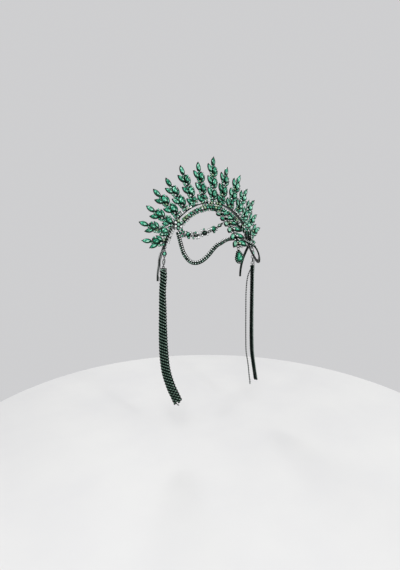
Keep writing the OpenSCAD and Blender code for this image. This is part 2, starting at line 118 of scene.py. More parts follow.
class Nodes:
    """A new material's nodes, with short calls to add and join them."""

    def __init__(self, name):
        self.material = bpy.data.materials.new(name)
        self.material.use_nodes = True
        self.tree = self.material.node_tree
        self.shader = self.tree.nodes["Principled BSDF"]

    def add(self, kind, **settings):
        node = self.tree.nodes.new(kind)
        for key, value in settings.items():
            if key in node.inputs:
                node.inputs[key].default_value = value
            else:
                setattr(node, key, value)
        return node

    def link(self, source, target):
        self.tree.links.new(source, target)

    def set(self, **values):
        for key, value in values.items():
            self.shader.inputs[key.replace("_", " ")].default_value = value

    def noise(self, scale, detail):
        place = self.add("ShaderNodeTexCoord")
        node = self.add("ShaderNodeTexNoise", Scale=scale, Detail=detail)
        self.link(place.outputs["Object"], node.inputs["Vector"])
        return node.outputs["Fac"]

    def ramp(self, source, stops):
        node = self.add("ShaderNodeValToRGB")
        marks = node.color_ramp.elements
        while len(marks) < len(stops):
            marks.new(0.5)
        for mark, (place, colour) in zip(marks, stops):
            mark.position = place
            mark.color = (*colour, 1)
        self.link(source, node.inputs["Fac"])
        return node.outputs["Color"]

    def map_range(self, source, low, high):
        node = self.add("ShaderNodeMapRange")
        node.inputs["To Min"].default_value = low
        node.inputs["To Max"].default_value = high
        self.link(source, node.inputs["Value"])
        return node.outputs["Result"]

    def sum(self, a, b):
        node = self.add("ShaderNodeMath", operation="ADD")
        self.link(a, node.inputs[0])
        self.link(b, node.inputs[1])
        return node.outputs["Value"]

    def bump(self, source, depth_mm, strength):
        node = self.add("ShaderNodeBump", Distance=depth_mm * MM, Strength=strength)
        self.link(source, node.inputs["Height"])
        self.link(node.outputs["Normal"], self.shader.inputs["Normal"])


def stone_material(name, stops, cloud=0.16):
    """Cut glass: each facet's tone, which carries painted light and shade, picks a colour, and faint
    clouds vary it inside the facet.
    """
    n = Nodes(name)
    # The tone attribute carries each facet's painted light and shade as well as the stone's own depth of
    # colour
    tone = n.add("ShaderNodeAttribute", attribute_name="tone").outputs["Fac"]
    clouds = n.map_range(n.noise(CLOUD_SCALE, 2), -cloud, cloud)
    n.link(n.ramp(n.sum(tone, clouds), stops), n.shader.inputs["Base Color"])
    n.link(n.map_range(n.noise(POLISH_SCALE, 2), *STONE_ROUGHNESS), n.shader.inputs["Roughness"])
    n.set(IOR=1.5, Specular_IOR_Level=0.2, Coat_Weight=0.1, Coat_Roughness=0.03)
    return n.material


def metal_material(name, dark, light, rough_low, rough_high):
    """Plated metal: blotches of two tones, uneven polish, and a fine grain."""
    n = Nodes(name)
    blotches = n.noise(BLOTCH_SCALE, 5)
    n.link(n.ramp(blotches, [(0.32, dark), (0.7, light)]), n.shader.inputs["Base Color"])
    n.link(n.map_range(n.noise(WEAR_SCALE, 4), rough_low, rough_high), n.shader.inputs["Roughness"])
    n.bump(n.noise(GRAIN_SCALE, 4), GRAIN_DEPTH, GRAIN_STRENGTH)
    n.set(Metallic=1)
    return n.material


# Colours of each glass, from its darkest facets at 0 to its brightest at 1; the brightest are painted
# highlights and the darkest partly painted shade
EMERALD_TONES = [(0, (0.0, 0.02, 0.01)), (0.25, (0.002, 0.085, 0.038)), (0.5, (0.01, 0.24, 0.125)),
    (0.75, (0.07, 0.5, 0.31)), (1, (0.56, 0.93, 0.76))]
PALE_TONES = [(0, (0.004, 0.035, 0.018)), (0.3, (0.03, 0.19, 0.105)), (0.6, (0.18, 0.52, 0.35)),
    (1, (0.85, 0.98, 0.9))]
LIME_TONES = [(0, (0.008, 0.03, 0.008)), (0.35, (0.075, 0.19, 0.07)), (0.65, (0.27, 0.48, 0.23)),
    (1, (0.85, 0.95, 0.72))]
CRYSTAL_TONES = [(0, (0.035, 0.05, 0.042)), (0.35, (0.26, 0.32, 0.285)), (0.65, (0.74, 0.79, 0.76)),
    (1, (1, 1, 1))]
SMOKE_TONES = [(0, (0.003, 0.009, 0.007)), (0.45, (0.014, 0.034, 0.026)), (0.75, (0.08, 0.115, 0.1)),
    (1, (0.3, 0.35, 0.325))]
GREY_TONES = [(0, (0.004, 0.016, 0.01)), (0.5, (0.14, 0.235, 0.18)), (1, (0.76, 0.85, 0.8))]

emerald = stone_material("emerald_glass", EMERALD_TONES)
pale = stone_material("pale_green_glass", PALE_TONES)
crystal = stone_material("crystal", CRYSTAL_TONES, cloud=0.1)
lime = stone_material("yellow_green_glass", LIME_TONES)
grey = stone_material("grey_green_glass", GREY_TONES, cloud=0.05)
smoke = stone_material("smoke_green_glass", SMOKE_TONES, cloud=0.1)
gunmetal = metal_material("gunmetal", (0.005, 0.009, 0.007), (0.024, 0.038, 0.032), 0.20, 0.45)
black_green = metal_material("black_green_metal", (0.002, 0.005, 0.004), (0.009, 0.018, 0.014), 0.30, 0.55)
steel = metal_material("pale_metal", (0.34, 0.35, 0.35), (0.62, 0.63, 0.62), 0.16, 0.34)

# Materials of pieces with stones, and of chains
GLASS = (emerald, pale, crystal, smoke, lime)
CHAIN = (black_green, crystal, smoke, pale, grey)

# Meshes


class Shape:
    """The points and faces of one piece, with a tone, a material and a smooth flag for each face."""

    def __init__(self, *materials):
        self.materials = materials
        self.points = []
        self.faces = []
        self.tones = []
        self.indices = []
        self.smooth = []
        self.count = 0

    def add(self, matrix, part, material=None, tones=None, smooth=False):
        """Adds a part at a place. With no material named, it gets the piece's first one."""
        points, faces = part
        points = np.asarray(points, float)
        self.points.append(points @ matrix[:3, :3].T + matrix[:3, 3])
        order = -1 if np.linalg.det(matrix[:3, :3]) < 0 else 1
        index = 0 if material is None else self.materials.index(material)
        self.faces.extend([self.count + i for i in face[::order]] for face in faces)
        self.tones.extend(tones if tones is not None else [0.5] * len(faces))
        self.indices.extend([index] * len(faces))
        self.smooth.extend([smooth] * len(faces))
        self.count += len(points)

    def piece(self, name, body, slot, *replaced):
        mesh = bpy.data.meshes.new(name)
        mesh.from_pydata((np.concatenate(self.points) * MM).tolist(), [], self.faces)
        for material in self.materials:
            mesh.materials.append(material)
        mesh.polygons.foreach_set("material_index", self.indices)
        mesh.polygons.foreach_set("use_smooth", self.smooth)
        mesh.attributes.new("tone", "FLOAT", "FACE").data.foreach_set("value", self.tones)
        mesh.validate()
        mesh.update()
        made = bpy.data.objects.new(name, mesh)
        bpy.context.scene.collection.objects.link(made)
        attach(made, body)
        if replaced:
            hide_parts(*replaced)


def unit(v):
    v = np.asarray(v, float)
    return v / np.linalg.norm(v)


def frame_at(origin, along, out):
    """A frame whose y runs along one direction and whose z is as near as it can be to another."""
    y = unit(along)
    out = np.asarray(out, float)
    z = unit(out - (out @ y) * y)
    m = np.eye(4)
    m[:3, 0], m[:3, 1], m[:3, 2], m[:3, 3] = np.cross(y, z), y, z, origin
    return m


def shift(x, y, z):
    m = np.eye(4)
    m[:3, 3] = x, y, z
    return m


def turn(degrees):
    """A turn about the z axis."""
    a = math.radians(degrees)
    m = np.eye(4)
    m[:2, :2] = [[math.cos(a), -math.sin(a)], [math.sin(a), math.cos(a)]]
    return m


def tip_over(degrees):
    """A turn about the y axis."""
    a = math.radians(degrees)
    m = np.eye(4)
    m[0, 0], m[0, 2], m[2, 0], m[2, 2] = math.cos(a), math.sin(a), -math.sin(a), math.cos(a)
    return m


def stretch(x, y, z):
    return np.diag([x, y, z, 1.0])


def jitter(reach):
    """A number by chance, at most this far from zero."""
    return rng.uniform(-reach, reach)


def tilted(matrix, degrees):
    """A frame leaning a little, in a direction of its own, so that no two stones catch a light alike."""
    lean = tip_over(jitter(degrees))
    across = turn(90) @ tip_over(jitter(degrees)) @ turn(-90)
    return matrix @ lean @ across


# Everything at a side is worked out for the wearer's left and mirrored for the right
MIRROR = {"left": np.eye(4), "right": np.diag([-1.0, 1, 1, 1])}


def ring_faces(low, high, count):
    """The faces between two rings of points that start at two indices."""
    return [[low + j, low + (j + 1) % count, high + (j + 1) % count, high + j] for j in range(count)]


def lathe(profile, sides):
    """A solid turned round z from (radius, height) pairs, bottom first, with both ends on the axis."""
    points = [(0, 0, profile[0][1])]
    for r, z in profile[1:-1]:
        for j in range(sides):
            a = 2 * math.pi * (j + 0.5) / sides
            points.append((r * math.cos(a), r * math.sin(a), z))
    points.append((0, 0, profile[-1][1]))
    rings = len(profile) - 2
    top = 1 + (rings - 1) * sides
    faces = [[0, 1 + (j + 1) % sides, 1 + j] for j in range(sides)]
    for k in range(rings - 1):
        faces += ring_faces(1 + k * sides, 1 + (k + 1) * sides, sides)
    faces += [[len(points) - 1, top + j, top + (j + 1) % sides] for j in range(sides)]
    return points, faces


def ball(sides, rings):
    steps = [math.pi * (k / (rings + 1) - 0.5) for k in range(rings + 2)]
    return lathe([(math.cos(a), math.sin(a)) for a in steps], sides)


BALL = ball(sides=8, rings=4)


def torus(radius, wire, sides=24, section=8):
    """A ring of round wire, flat on the plane z = 0."""
    points, faces = [], []
    for i in range(sides):
        a = 2 * math.pi * i / sides
        k = (i + 1) % sides
        for j in range(section):
            b = 2 * math.pi * j / section
            r = radius + wire * math.cos(b)
            points.append((r * math.cos(a), r * math.sin(a), wire * math.sin(b)))
            after = (j + 1) % section
            faces.append([i * section + j, k * section + j, k * section + after, i * section + after])
    return points, faces


def block(width, length, height, edge):
    """A box on z = 0 with sloped edges."""
    points = []
    for inset, z in ((edge, 0), (0, edge), (0, height - edge), (edge, height)):
        x, y = width / 2 - inset, length / 2 - inset
        points += [(-x, -y, z), (x, -y, z), (x, y, z), (-x, y, z)]
    faces = [[3, 2, 1, 0]]
    for k in range(3):
        faces += ring_faces(4 * k, 4 * k + 4, 4)
    return points, faces + [[12, 13, 14, 15]]


def thin_bar(shape, matrix, width, length, thick=1.2):
    """A thin bar across or along a place, its front at z = 0."""
    shape.add(matrix @ shift(0, 0, -thick), block(width, length, thick, 0.2))


def oval(width, length, sides=8):
    angles = [2 * math.pi * (i + 0.5) / sides for i in range(sides)]
    return [(width / 2 * math.cos(a), length / 2 * math.sin(a)) for a in angles]


def level(outline, z):
    """An outline's points at one height."""
    return [(x, y, z) for x, y in outline]


def grown(outline, distance):
    """An outline with each point moved out from the middle."""
    return np.array([p + distance * unit(p) for p in outline])


# A cup's lip and floor as shares of its height, then shares of its wall and of its opening
CUP_LIP = 0.12
CUP_FLOOR = 0.5
RIM_DRAWN_IN = 0.3
FLOOR_SHARE = 0.96


def cup(outline, wall, height, taper=0.85):
    """An open cup round an outline, its rim at z = 0, narrower at its foot."""
    inner = np.asarray(outline, float)
    outer = grown(inner, wall)
    points = level(outer * taper, -height) + level(outer, -CUP_LIP * height)
    points += level(grown(outer, -RIM_DRAWN_IN * wall), 0) + level(inner, 0)
    points += level(inner * FLOOR_SHARE, -CUP_FLOOR * height)
    n = len(outline)
    faces = [list(range(n - 1, -1, -1))]
    for k in range(4):
        faces += ring_faces(k * n, (k + 1) * n, n)
    return points, faces


# Cut stones

# A cut's rings: the table as a share of the girdle, its centre as a share of it, and the star points
TABLE_SHARE = 0.56
CENTRE_SHARE = 0.52
STAR_SHARE = 0.8
STAR_HEIGHT = 0.5
GIRDLE = 0.12
# Where an outline turns by more than this, it has a corner
CORNER = math.cos(math.radians(50))
# The direction that the main light comes from, whose fall is painted into the facets' tones: facets toward
# it are painted brighter
LIGHT = unit((-0.62, -0.42, 0.66))
# Painted reflections: wedges of dark and light that show through the table by turns
PAINTED_REFLECTION_WEDGES = (-0.16, 0.3)
# Each kind of facet: its tone, which paints a bright centre and shaded edges, what the painted main light
# adds, what the painted reflection wedge adds, and how far it varies by chance
FACET_PAINTED_LIGHT = {
    "centre": (0.22, -0.2, 0.8, 0.16),
    "table": (0.1, -0.2, -0.7, 0.16),
    "star": (-0.02, 0.34, 0, 0.16),
    "kite": (-0.06, 0.3, 0, 0.16),
    "upper": (-0.2, 0.24, 0, 0.12),
    "upper_next": (-0.24, 0.24, 0, 0.12),
    "girdle": (-0.34, 0, 0, 0.04),
    "pavilion": (-0.3, 0, 0, 0.06),
}


def between(points):
    """A point between each two neighbours of an outline, on its curve; sharp corners stay sharp."""
    p = np.asarray(points, float)
    n = len(p)
    made = []
    sharp = [unit(p[i] - p[i - 1]) @ unit(p[(i + 1) % n] - p[i]) < CORNER for i in range(n)]
    for i in range(n):
        a, b, c, d = p[i - 1], p[i], p[(i + 1) % n], p[(i + 2) % n]
        if sharp[i] and sharp[(i + 1) % n]:
            made.append((b + c) / 2)
        elif sharp[i]:
            made.append(0.375 * b + 0.75 * c - 0.125 * d)
        elif sharp[(i + 1) % n]:
            made.append(0.75 * b + 0.375 * c - 0.125 * a)
        else:
            made.append((9 * (b + c) - a - d) / 16)
    return np.array(made)


def cut(outline, crown, depth, light, base, contrast):
    """A faceted stone on an outline, its girdle at z = 0, and a tone for each facet, with light and shade
    painted into it.

    The table is divided as the facets below it show through, so painted reflections, light and dark
    wedges, alternate there.
    """
    g = np.asarray(outline, float)
    n = len(g)
    m = between(g)
    points = level(g * TABLE_SHARE * CENTRE_SHARE, crown) + level(g * TABLE_SHARE, crown)
    points += level(m * STAR_SHARE, crown * STAR_HEIGHT) + level(g, 0) + level(m, 0)
    points += level(g, -GIRDLE) + level(m, -GIRDLE) + [(0, 0, crown), (0, 0, -depth)]
    inner, top, star, girdle, middle, low, low_mid, centre = (n * k for k in range(8))
    culet = centre + 1
    faces, tones = [], []

    def facet(kind, painted_lit, painted_wedge, *corners):
        tone, by_painted_light, by_painted_wedge, spread = FACET_PAINTED_LIGHT[kind]
        # The tone paints light and shade: a bright centre, shaded edges, brighter facets toward the main
        # light, and reflection wedges
        tone = tone + by_painted_light * painted_lit + by_painted_wedge * painted_wedge
        faces.append(list(corners))
        tones.append(min(1, max(0, base + contrast * (tone + jitter(spread)))))

    toward = unit(light)
    for i in range(n):
        k = (i + 1) % n
        # Painted light: facets that face the main light get a brighter tone
        painted_lit = unit(g[i]) @ toward
        painted_lit_mid = unit(m[i]) @ toward
        # Painted reflections: alternate wedges get a light and a dark tone
        painted_wedge = PAINTED_REFLECTION_WEDGES[i % 2]
        facet("centre", painted_lit_mid, painted_wedge, centre, inner + i, inner + k)
        facet("table", painted_lit_mid, painted_wedge, inner + i, top + i, top + k, inner + k)
        facet("star", painted_lit_mid, painted_wedge, top + i, star + i, top + k)
        facet("kite", painted_lit, painted_wedge, top + i, star + (i - 1) % n, girdle + i, star + i)
        facet("upper", painted_lit_mid, painted_wedge, star + i, girdle + i, middle + i)
        facet("upper_next", painted_lit_mid, painted_wedge, star + i, middle + i, girdle + k)
        facet("girdle", painted_lit, painted_wedge, girdle + i, low + i, low_mid + i, middle + i)
        facet("girdle", painted_lit, painted_wedge, middle + i, low_mid + i, low + k, girdle + k)
        facet("pavilion", painted_lit, painted_wedge, low + i, culet, low_mid + i)
        facet("pavilion", painted_lit, painted_wedge, low_mid + i, culet, low + k)
    return (points, faces), tones


def painted_light_in(matrix):
    """The direction of the main light, seen in a stone's own plane, for the light painted on its facets.
    """
    return (matrix[:3, :3].T @ LIGHT)[:2]


# The frame's stones

# How near the table or the culet a point may lie and still belong to it
LEVEL_GAP = 0.05
# A stone is round where its girdle's shortest reach is this share of its longest
ROUND_SHARE = 0.9
# Points this near the longest reach are tips, and a leaf's two ends reach alike but for the gap
TIP_SHARE = 0.98
LEAF_GAP = 0.3
# In metres, as the frame's meshes are
WELD = 1e-6
OWN_LEAN = 3.5


class Stone:
    """One cut stone of the frame: where it lies, its outline and its height."""

    def __init__(self, points, table, root):
        normal = unit(np.cross(table[1] - table[0], table[2] - table[0]))
        if normal @ (table.mean(0) - points.mean(0)) < 0:
            normal = -normal
        heights = points @ normal
        top, bottom = heights.max(), heights.min()
        girdle = points[(heights < top - LEVEL_GAP) & (heights > bottom + LEVEL_GAP)]
        girdle_height = girdle[0] @ normal
        self.crown = top - girdle_height
        self.depth = girdle_height - bottom
        centre = points[heights.argmin()] + normal * self.depth
        reach = np.linalg.norm(girdle - centre, axis=1)
        self.is_round = reach.min() / reach.max() > ROUND_SHARE
        tips = girdle[reach > reach.max() * TIP_SHARE]
        away = np.linalg.norm(tips - root, axis=1)
        along = centre - root if self.is_round else tips[away.argmax()] - centre
        self.matrix = frame_at(centre, along, normal)
        local = (girdle - centre) @ self.matrix[:3, :2]
        self.outline = local[np.argsort(np.arctan2(local[:, 1], local[:, 0]))]
        self.width, self.length = np.ptp(self.outline, axis=0)
        self.low, self.tip = self.outline[:, 1].min(), self.outline[:, 1].max()
        self.is_leaf = not self.is_round and abs(self.low + self.tip) < LEAF_GAP


def islands(bm):
    """The groups of joined vertices in a mesh."""
    found, seen = [], set()
    for start in bm.verts:
        if start.index in seen:
            continue
        group, todo = [], [start]
        seen.add(start.index)
        while todo:
            vert = todo.pop()
            group.append(vert)
            for edge in vert.link_edges:
                other = edge.other_vert(vert)
                if other.index not in seen:
                    seen.add(other.index)
                    todo.append(other)
        found.append(group)
    return found


def table_of(group):
    """The corners of a stone's table, which is its largest flat face."""
    planes = {}
    for face in dict.fromkeys(f for v in group for f in v.link_faces):
        key = tuple(round(c, 2) for c in face.normal)
        planes.setdefault(key, []).append(face)
    widest = max(planes.values(), key=lambda faces: sum(f.calc_area() for f in faces))
    return list(dict.fromkeys(v for f in widest for v in f.verts))


def stones_of(node, root):
    """The stones in a node's mesh. Root is the point from which the leaves and pears point away."""
    bm = bmesh.new()
    bm.from_mesh(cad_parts[node].data)
    bmesh.ops.remove_doubles(bm, verts=bm.verts, dist=WELD)
    found = []
    for group in islands(bm):
        points, table = (np.array([v.co for v in verts]) / MM for verts in (group, table_of(group)))
        found.append(Stone(points, table, root))
    bm.free()
    return found


def cut_again(shape, stone, material, base, contrast=1.0):
    """A finer cut in the place of one of the frame's stones."""
    part, tones = cut(stone.outline, stone.crown, stone.depth, painted_light_in(stone.matrix), base, contrast)
    shape.add(tilted(stone.matrix, OWN_LEAN), part, material, tones)


# Claws and small settings

# Half sizes of the claws' beads: across, along and up
TIP_CLAW = (0.72, 1.15, 0.72)
FOOT_CLAW = (0.5, 0.8, 0.5)
SIDE_CLAW = (0.3, 0.42, 0.36)
ROUND_CLAW = (0.34, 0.46, 0.40)
FINE_CLAW = (0.17, 0.24, 0.24)
SETTING_CLAW = (0.2, 0.3, 0.26)
CHAIN_CLAW = (0.2, 0.28, 0.26)
# How high the claws are on a stone's crown, and how far they stand outside its girdle
CLAW_SHARE = 0.3
CLAW_GAP = 0.12
TIP_GAP = 0.35
FOOT_GAP = 0.25
# How far along a stone its side claws are, and the share of its width that their line keeps at the tip
SIDE_SHARE = 0.42
LEAF_NARROW = 0.72
PEAR_NARROW = 0.8
# Round stones wider than these have six claws, and claws that aren't fine
SIX_CLAWS_OVER = 5
FINE_UP_TO = 2.6


def claw(shape, matrix, x, y, z, size):
    """A claw's bead, drawn out along the line from the stone's middle."""
    turned = turn(math.degrees(math.atan2(y, x)) - 90) if x or y else np.eye(4)
    shape.add(matrix @ shift(x, y, z) @ turned @ stretch(*size), BALL, smooth=True)


def round_claws(shape, stone, height):
    count = 6 if stone.width > SIX_CLAWS_OVER else 4
    size = ROUND_CLAW if stone.width > FINE_UP_TO else FINE_CLAW
    for j in range(count):
        a = 2 * math.pi * (j + 0.5) / count
        x = (stone.width / 2 + CLAW_GAP) * math.cos(a)
        y = (stone.length / 2 + CLAW_GAP) * math.sin(a)
        claw(shape, stone.matrix, x, y, height, size)


def claws(shape, stone):
    """Claws round one of the frame's stones: a leaf has one at each end and two at each side."""
    height = CLAW_SHARE * stone.crown
    if stone.is_round:
        round_claws(shape, stone, height)
        return
    claw(shape, stone.matrix, 0, stone.tip + TIP_GAP, height, TIP_CLAW)
    if stone.is_leaf:
        claw(shape, stone.matrix, 0, stone.low - FOOT_GAP, height, FOOT_CLAW)
    half = stone.width / 2
    narrow = LEAF_NARROW if stone.is_leaf else PEAR_NARROW
    across = np.interp(SIDE_SHARE, (0, 1), (half, narrow * half)) + CLAW_GAP
    for side in (1, -1):
        for end in (stone.tip, stone.low):
            claw(shape, stone.matrix, side * across, SIDE_SHARE * end, height * 0.8, SIDE_CLAW)


def corner_claws(shape, rim, width, length, gap, size):
    """Four claws round a small stone."""
    for j in range(4):
        a = math.radians(45 + 90 * j)
        claw(shape, rim, (width / 2 + gap) * math.cos(a), (length / 2 + gap) * math.sin(a), 0.08, size)


# A small setting's height and its stone's crown as shares of its width, and its wall
SETTING_HEIGHT = 0.45
SETTING_CROWN = 0.2
SETTING_WALL = 0.28


def small_setting(gems, metal, matrix, width, base, material):
    """A small round stone in its own cup with four claws. z = 0 is the cup's foot."""
    outline = oval(width, width)
    height = SETTING_HEIGHT * width
    rim = matrix @ shift(0, 0, height)
    metal.add(rim, cup(outline, SETTING_WALL, height))
    part, tones = cut(outline, SETTING_CROWN * width, height * 0.8, painted_light_in(matrix), base, contrast=1.1)
    gems.add(rim @ shift(0, 0, -0.06), part, material, tones)
    corner_claws(metal, rim, width, width, 0.06, SETTING_CLAW)


# The headband's plane, with sizes as in the frame's source

BAND_R = 83
ARC_R = 73
BAND_W = 5
FAN_LEAN = math.radians(3)
HEAD_MIDDLE = np.array([0, 14, -95.0])
FRONT = np.array([0, -math.cos(FAN_LEAN), -math.sin(FAN_LEAN)])


def arc_point(r, degrees, forward=0):
    """A point of the headband's plane, or in front of it, at an angle up from the wearer's left."""
    a = math.radians(degrees)
    up = r * math.sin(a) - ARC_R
    return np.array([r * math.cos(a), -up * math.sin(FAN_LEAN) - forward * math.cos(FAN_LEAN),
        up * math.cos(FAN_LEAN) - forward * math.sin(FAN_LEAN)])


BAND_CENTRE = arc_point(0, 0)


def on_front(r, degrees, sunk):
    """A frame on the front of the bands, or sunk into it: y points away from their centre, z forward."""
    outward = arc_point(1, degrees) - arc_point(0, degrees)
    return frame_at(arc_point(r, degrees, BAND_W / 2 - sunk), outward, FRONT)


# Sprays of the fan

# Each spray's angle on the headband, and its tip, from the middle one to the last on the left
FAN = [(90, (0, -1, 74)), (79, (27, 0, 63)), (67.5, (55, 2, 55)), (56, (75, 7, 37)), (46, (93, 9, 21)),
    (36, (102, 12, -1)), (27, (112, 14, -22)), (18, (106, 18, -46))]
SPRAYS = 15
MIDDLE_SPRAY = 8
TIER_STEP = 16.5
# The least height of a tier's top over the spray's foot, and of a small stone
LAST_TIER = 22.6
LAST_SMALL = 1.5
# Height of the back settings' rims; the small stones' cups stand just below it
BACK_TOP = 1.0
LEAF_TONES = (0.24, 0.32, 0.4, 0.5)
LEAF_CONTRAST = 1.3
SMALL_TONES = (0.25, 0.6)
SMALL_LEAN = 8
# Small stones of a tier: across, down from the tier's top, size, and the materials to choose from
SPRAY_SMALL = (
    (2.3, 24.8, 3, (crystal, crystal, lime)),
    (-2.4, 14.3, 2.2, (smoke, emerald)),
    (-2.8, 17.9, 2.3, (pale, lime)),
    (0, 28.6, 2.2, (crystal, smoke)),
    (2.2, 13, 2.9, (emerald, pale)),
    (5.5, 22.4, 3, (emerald, pale, emerald)),
    (-4.6, 15.2, 2.9, (emerald, pale, emerald)),
    (-5.2, 19.6, 2.2, (crystal, emerald)),
    (3.4, 17.2, 1.9, (pale, lime)),
    (5.2, 25.4, 2.8, (emerald, pale)),
    (4.3, 28.2, 2.6, (emerald, smoke)),
    (2.3, 30.4, 2.4, (emerald, pale)),
    (-3.8, 28.9, 2.8, (emerald, pale)),
    (-6.2, 33.2, 2.4, (emerald, pale)),
)
# Small stones at a spray's foot: across, up and size
SPRAY_FOOT = ((-4.4, 0.6, 2.4), (-2.0, 2.3, 2.7), (2.1, 1.9, 2.5), (4.5, 0.4, 2.7))
FOOT_GLASS = (crystal, crystal, smoke, lime, emerald)
FOOT_TONES = (0.35, 0.8)
FOOT_LEAN = 12


def spray_frame(i):
    """The frame of a spray as in the frame's source, its length, and the side of its higher leaves."""
    degrees, tip = FAN[abs(i - MIDDLE_SPRAY)]
    base = arc_point(BAND_R, degrees)
    tip = np.array(tip, float)
    side, higher = ("right", 1) if i < MIDDLE_SPRAY else ("left", -1)
    return MIRROR[side] @ frame_at(base, tip - base, (0, -1, 0)), np.linalg.norm(tip - base), higher


def add_tier(white, metal, spray, top, side):
    """The small stones between one tier's leaves, each with a thin bar to the stem."""
    for x, down, size, kinds in SPRAY_SMALL:
        y = top - down
        if y > LAST_SMALL:
            spot = tilted(spray @ shift(side * x, y, BACK_TOP - 0.3), SMALL_LEAN)
            small_setting(white, metal, spot, size, rng.uniform(*SMALL_TONES), rng.choice(kinds))
            thin_bar(metal, spray @ shift(side * x / 2, y, BACK_TOP - 0.1), abs(x) + 1, 0.9, 0.9)


def dress_spray(i):
    node = f"spray_stones_{i}"
    green, metal, white = Shape(*GLASS), Shape(gunmetal), Shape(*GLASS)
    for stone in stones_of(node, BAND_CENTRE):
        cut_again(green, stone, emerald, rng.choice(LEAF_TONES), LEAF_CONTRAST)
        claws(metal, stone)
    spray, length, side = spray_frame(i)
    top = length
    while top > LAST_TIER:
        add_tier(white, metal, spray, top, side)
        top -= TIER_STEP
    for x, y, size in SPRAY_FOOT:
        spot = tilted(spray @ shift(x, y, BACK_TOP - 0.5), FOOT_LEAN)
        small_setting(white, metal, spot, size, rng.uniform(*FOOT_TONES), rng.choice(FOOT_GLASS))
    green.piece(f"{node}_cut", "crown", "green_stone", node)
    metal.piece(f"spray_claws_{i}", "crown", "black_metal")
    white.piece(f"spray_crystals_{i}", "crown", "clear_stone")


# Settings that the frame's other nodes carry


def dress(node, body, slot, choose, root=BAND_CENTRE):
    """New cuts and claws for a node's stones; choose gives each its material and its tone."""
    gems, metal = Shape(*GLASS), Shape(gunmetal)
    for stone in stones_of(node, root):
        material, base = choose(stone)
        cut_again(gems, stone, material, base)
        claws(metal, stone)
    gems.piece(f"{node}_cut", body, slot, node)
    return metal


def dress_alone(node, claws_name, body, slot, choose):
    """Dresses a node that gets nothing but new cuts and claws."""
    dress(node, body, slot, choose).piece(claws_name, body, "black_metal")


def any_of(*kinds):
    """A chooser that picks among (material, lowest tone, highest tone), whatever the stone."""
    def choose(stone=None):
        material, low, high = rng.choice(kinds)
        return material, rng.uniform(low, high)
    return choose


def spaced(first, last, count):
    """Evenly spaced numbers, with both ends."""
    return [first + (last - first) * i / (count - 1) for i in range(count)]


# Inner arc

ARC_GLASS = any_of((emerald, 0.3, 0.55), (emerald, 0.3, 0.55), (lime, 0.35, 0.7), (crystal, 0.4, 0.65),
    (smoke, 0.5, 0.9))
# The node's few stones above this height lie on the headband's top
CREST_Z = 8
CREST_GLASS = (crystal, crystal, lime, emerald)
CREST_TONES = (0.4, 0.65)
# Small stones below the arc's own row: first and last angle and count, then what chance adds
LOWER_ROW = (44, 136, 34)
LOWER_R = ARC_R - 0.6
LOWER_ACROSS = 0.4
LOWER_ALONG = 0.5
LOWER_SIZES = (1.9, 2.7)
LOWER_LEAN = 16
# Small stones above it
UPPER_ROW = (46, 134, 34)
UPPER_R = ARC_R + 5.6
UPPER_DEGREES = 0.6
UPPER_SIZES = (1.7, 2.3)
UPPER_LEAN = 14
# Small stones on bars that fill the gap up to the headband, at the top
FILL_ROW = (78, 104, 15)
FILL_R = BAND_R - 3.2
FILL_ALONG = 0.4
FILL_SIZES = (2.2, 2.8)
FILL_TONES = (0.35, 0.7)
FILL_GLASS = (lime, lime, emerald, crystal)
FILL_LEAN = 12


def arc_stone(stone):
    if stone.matrix[2, 3] > CREST_Z:
        return rng.choice(CREST_GLASS), rng.uniform(*CREST_TONES)
    return ARC_GLASS()


def add_lower_row(gems, metal):
    for degrees in spaced(*LOWER_ROW):
        material, base = ARC_GLASS()
        moved = shift(jitter(LOWER_ACROSS), jitter(LOWER_ALONG), 0)
        spot = tilted(on_front(LOWER_R, degrees, 0.3) @ moved, LOWER_LEAN)
        small_setting(gems, metal, spot, rng.uniform(*LOWER_SIZES), base, material)


def add_upper_row(gems, metal):
    for degrees in spaced(*UPPER_ROW):
        degrees += jitter(UPPER_DEGREES)
        material, base = ARC_GLASS()
        spot = tilted(on_front(UPPER_R, degrees, 0.8), UPPER_LEAN)
        small_setting(gems, metal, spot, rng.uniform(*UPPER_SIZES), base, material)


def add_top_fill(gems, metal):
    for degrees in spaced(*FILL_ROW):
        place = on_front(FILL_R + jitter(FILL_ALONG), degrees, 0.5)
        spot = tilted(place, FILL_LEAN)
        size, base, material = rng.uniform(*FILL_SIZES), rng.uniform(*FILL_TONES), rng.choice(FILL_GLASS)
        small_setting(gems, metal, spot, size, base, material)
        thin_bar(metal, place, 0.9, 7.6)


def dress_arc():
    metal = dress("arc_stones", "crown", "clear_stone", arc_stone)
    gems = Shape(*GLASS)
    add_lower_row(gems, metal)
    add_upper_row(gems, metal)
    add_top_fill(gems, metal)
    gems.piece("arc_small_stones", "crown", "clear_stone")
    metal.piece("arc_claws", "crown", "black_metal")


# Headband

# Cups on each end: the count, the lowest one's angle, the angle from one to the next
END_CUPS = 10
END_FIRST = 17.8
END_STEP = 2.5
# Their two rows: distance from the headband's middle line, angle ahead, and the materials to choose from
END_ROWS = ((-2.6, 0, (crystal, crystal, smoke)), (1.0, 1.2, (smoke, smoke, crystal, emerald)))
END_SIZE = 2.6
END_TONES = (0.35, 0.85)
END_LEAN = 12
# Small stones between the sprays' feet: angle on the headband and distance from its middle line
FEET = ((21.2, 4.6), (23.6, 6.2), (24.2, 3.6), (30.2, 4.4), (32.2, 6.4), (33.0, 3.8), (39.4, 4.4),
    (41.4, 6.2), (42.6, 3.8), (49.6, 4.4), (52.4, 4.2), (60.6, 4.2), (63.2, 4.0))
FEET_SIZE = 2.5
FEET_GLASS = (crystal, smoke, emerald, emerald)
FEET_TONES = (0.35, 0.75)
FEET_LEAN = 14


